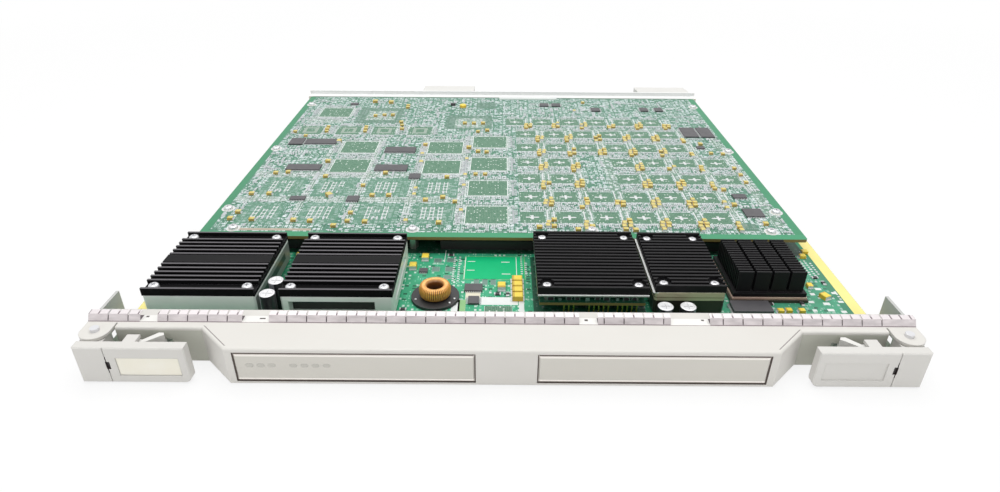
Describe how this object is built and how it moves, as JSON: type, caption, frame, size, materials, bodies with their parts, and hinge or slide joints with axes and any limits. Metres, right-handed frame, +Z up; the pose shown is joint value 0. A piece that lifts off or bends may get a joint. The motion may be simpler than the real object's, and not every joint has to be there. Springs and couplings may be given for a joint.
{
  "type": "service card",
  "caption": "Chassis service card: a wide board with a finned power section, a raised second board, a bulged faceplate with ejector levers and rear connectors.",
  "frame": {"origin": "middle of the faceplate's underside, below its gasket line", "axes": "+X along the faceplate to the right, +Y to the rear connectors, +Z up from the board"},
  "size_m": [0.3976, 0.4268, 0.024],
  "materials": {
    "faceplate_paint": "satin",
    "lever_paint": "satin",
    "gasket_metal": "satin",
    "insert_plastic": "matt",
    "light_pipe": "gloss",
    "white_plastic": "matt",
    "label_paper": "matt",
    "main_laminate": "satin",
    "mezzanine_laminate": "satin",
    "screw_steel": "bright",
    "standoff_metal": "satin",
    "connector_plastic": "matt",
    "black_plastic": "matt",
    "bar_aluminium": "satin",
    "case_paint": "satin",
    "case_metal": "satin",
    "black_anodised": "matt",
    "plate_aluminium": "satin",
    "gold_pin": "bright",
    "package_laminate": "satin",
    "copper_lid": "satin",
    "copper_wire": "enamelled",
    "can_aluminium": "bright",
    "chip_plastic": "matt"
  },
  "bodies": {
    "card": {"faceplate": "faceplate_paint", "emi_gasket": "gasket_metal", "status_panel_insert": "insert_plastic", "blank_panel_insert": "insert_plastic", "light_pipe_array": "light_pipe", "status_led_blocks": "black_plastic", "main_board": "main_laminate", "mezzanine_board": "mezzanine_laminate", "mezzanine_standoffs": "standoff_metal", "mezzanine_screws": "screw_steel", "board_screws": "screw_steel", "mezzanine_receptacles": "black_plastic", "mezzanine_plugs": "black_plastic", "rear_stiffener": "bar_aluminium", "stiffener_screws": "screw_steel", "backplane_connector_left": "connector_plastic", "backplane_connector_right": "connector_plastic", "converter_1_case": "case_paint", "converter_1_heatsink": "black_anodised", "converter_2_case": "case_paint", "converter_2_heatsink": "black_anodised", "converter_3_baseplate": "plate_aluminium", "converter_3_board": "package_laminate", "converter_3_posts": "standoff_metal", "converter_3_pins": "gold_pin", "converter_3_heatsink": "black_anodised", "converter_4_case": "case_metal", "converter_4_heatsink": "black_anodised", "processor_package": "package_laminate", "processor_lid": "copper_lid", "pin_fin_heatsink": "black_anodised", "choke_base": "black_plastic", "choke_winding": "copper_wire", "electrolytic_capacitors": "can_aluminium", "main_chips": "chip_plastic", "mezzanine_memory_chips": "chip_plastic", "mezzanine_logic_chips": "chip_plastic", "signal_processor_chips": "chip_plastic", "controller_chips": "chip_plastic", "left_lever_pivot": "screw_steel", "right_lever_pivot": "screw_steel"},
    "left_lever": {"left_ejector_lever": "lever_paint", "left_latch_pin": "screw_steel", "lever_label": "label_paper"},
    "right_lever": {"right_ejector_lever": "lever_paint", "right_latch_pin": "screw_steel"},
    "left_latch": {"left_lever_latch": "white_plastic"},
    "right_latch": {"right_lever_latch": "white_plastic"}
  },
  "joints": [
    {"name": "right_lever_hinge", "type": "hinge", "parent": "card", "child": "right_lever", "pos_m": [0.19175, -0.0086, 0.0105], "axis": [0, 0, 1], "range_deg": [0, 60]},
    {"name": "left_lever_hinge", "type": "hinge", "parent": "card", "child": "left_lever", "pos_m": [-0.19175, -0.0086, 0.0105], "axis": [0, 0, -1], "range_deg": [0, 60]},
    {"name": "right_latch_hinge", "type": "hinge", "parent": "right_lever", "child": "right_latch", "pos_m": [0.172, -0.0146, 0.0105], "axis": [0, 0, 1], "range_deg": [0, 11], "stiffness_Nm_per_rad": 0.02},
    {"name": "left_latch_hinge", "type": "hinge", "parent": "left_lever", "child": "left_latch", "pos_m": [-0.172, -0.0146, 0.0105], "axis": [0, 0, -1], "range_deg": [0, 11], "stiffness_Nm_per_rad": 0.02}
  ]
}
